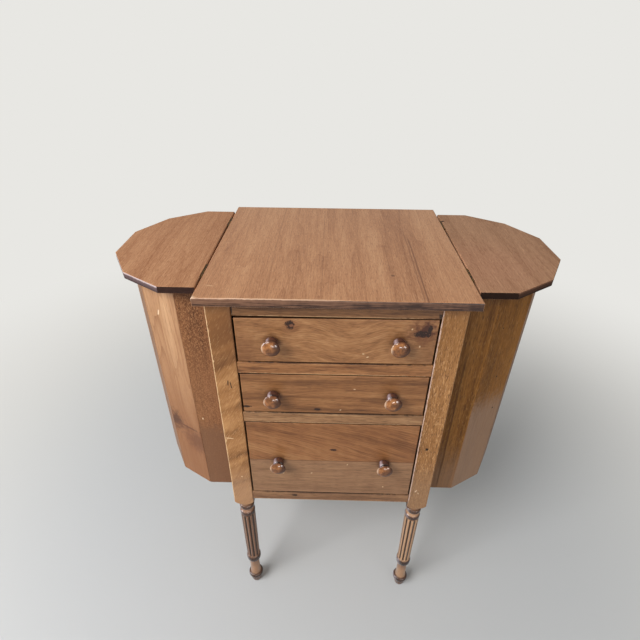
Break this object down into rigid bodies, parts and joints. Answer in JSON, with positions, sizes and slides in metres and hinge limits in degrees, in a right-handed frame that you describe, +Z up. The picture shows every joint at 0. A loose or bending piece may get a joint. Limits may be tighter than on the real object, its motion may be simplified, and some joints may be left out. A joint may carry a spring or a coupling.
{
  "type": "sewing cabinet",
  "caption": "Small wooden sewing cabinet on turned, reeded legs, with drawers between the posts and a many-sided storage pocket under a hinged lid on each side.",
  "frame": {"origin": "on the floor, under the middle of the cabinet's box from the knobs to the back of the top", "axes": "+X to the right as seen from the front, +Y to the back, +Z up; the drawers face -Y"},
  "size_m": [0.674, 0.354, 0.742],
  "materials": {
    "top_wood": "satin varnish, worn at the edges",
    "post_wood": "satin varnish",
    "front_wood": "satin varnish",
    "stave_wood": "satin varnish",
    "inside_wood": "raw",
    "knob_wood": "gloss varnish",
    "hinge_metal": "aged"
  },
  "bodies": {
    "case": {"top_board": "top_wood", "front_left_leg": "post_wood", "front_right_leg": "post_wood", "back_left_leg": "post_wood", "back_right_leg": "post_wood", "top_front_rail": "front_wood", "top_back_rail": "front_wood", "left_side_panel": "stave_wood", "right_side_panel": "stave_wood", "back_panel": "inside_wood", "upper_drawer_frame": "front_wood", "middle_drawer_frame": "front_wood", "lower_drawer_frame": "front_wood", "left_pocket_front_stave": "stave_wood", "left_pocket_front_corner_stave": "stave_wood", "left_pocket_front_bevel_stave": "stave_wood", "left_pocket_outer_stave": "stave_wood", "left_pocket_back_bevel_stave": "stave_wood", "left_pocket_back_corner_stave": "stave_wood", "left_pocket_back_stave": "stave_wood", "left_pocket_floor": "inside_wood", "left_front_hinge_top_leaf": "hinge_metal", "left_back_hinge_top_leaf": "hinge_metal", "right_pocket_front_stave": "stave_wood", "right_pocket_front_corner_stave": "stave_wood", "right_pocket_front_bevel_stave": "stave_wood", "right_pocket_outer_stave": "stave_wood", "right_pocket_back_bevel_stave": "stave_wood", "right_pocket_back_corner_stave": "stave_wood", "right_pocket_back_stave": "stave_wood", "right_pocket_floor": "inside_wood", "right_front_hinge_top_leaf": "hinge_metal", "right_back_hinge_top_leaf": "hinge_metal"},
    "upper_drawer": {"upper_drawer_front": "front_wood", "upper_drawer_left_side": "inside_wood", "upper_drawer_right_side": "inside_wood", "upper_drawer_back": "inside_wood", "upper_drawer_bottom": "inside_wood", "upper_drawer_left_knob": "knob_wood", "upper_drawer_right_knob": "knob_wood"},
    "middle_drawer": {"middle_drawer_front": "front_wood", "middle_drawer_left_side": "inside_wood", "middle_drawer_right_side": "inside_wood", "middle_drawer_back": "inside_wood", "middle_drawer_bottom": "inside_wood", "middle_drawer_left_knob": "knob_wood", "middle_drawer_right_knob": "knob_wood"},
    "lower_drawer": {"lower_drawer_front": "front_wood", "lower_drawer_left_side": "inside_wood", "lower_drawer_right_side": "inside_wood", "lower_drawer_back": "inside_wood", "lower_drawer_bottom": "inside_wood", "lower_drawer_left_knob": "knob_wood", "lower_drawer_right_knob": "knob_wood"},
    "left_lid": {"left_lid": "top_wood", "left_front_hinge_lid_leaf": "hinge_metal", "left_back_hinge_lid_leaf": "hinge_metal"},
    "right_lid": {"right_lid": "top_wood", "right_front_hinge_lid_leaf": "hinge_metal", "right_back_hinge_lid_leaf": "hinge_metal"}
  },
  "joints": [
    {"name": "upper_drawer_slide", "type": "slide", "parent": "case", "child": "upper_drawer", "axis": [0, -1, 0], "range_m": [0, 0.2]},
    {"name": "middle_drawer_slide", "type": "slide", "parent": "case", "child": "middle_drawer", "axis": [0, -1, 0], "range_m": [0, 0.2]},
    {"name": "lower_drawer_slide", "type": "slide", "parent": "case", "child": "lower_drawer", "axis": [0, -1, 0], "range_m": [0, 0.2]},
    {"name": "left_lid_hinge", "type": "hinge", "parent": "case", "child": "left_lid", "pos_m": [-0.18755, 0.004, 0.7406], "axis": [0, 1, 0], "range_deg": [0, 100]},
    {"name": "right_lid_hinge", "type": "hinge", "parent": "case", "child": "right_lid", "pos_m": [0.18755, 0.004, 0.7406], "axis": [0, -1, 0], "range_deg": [0, 100]}
  ]
}
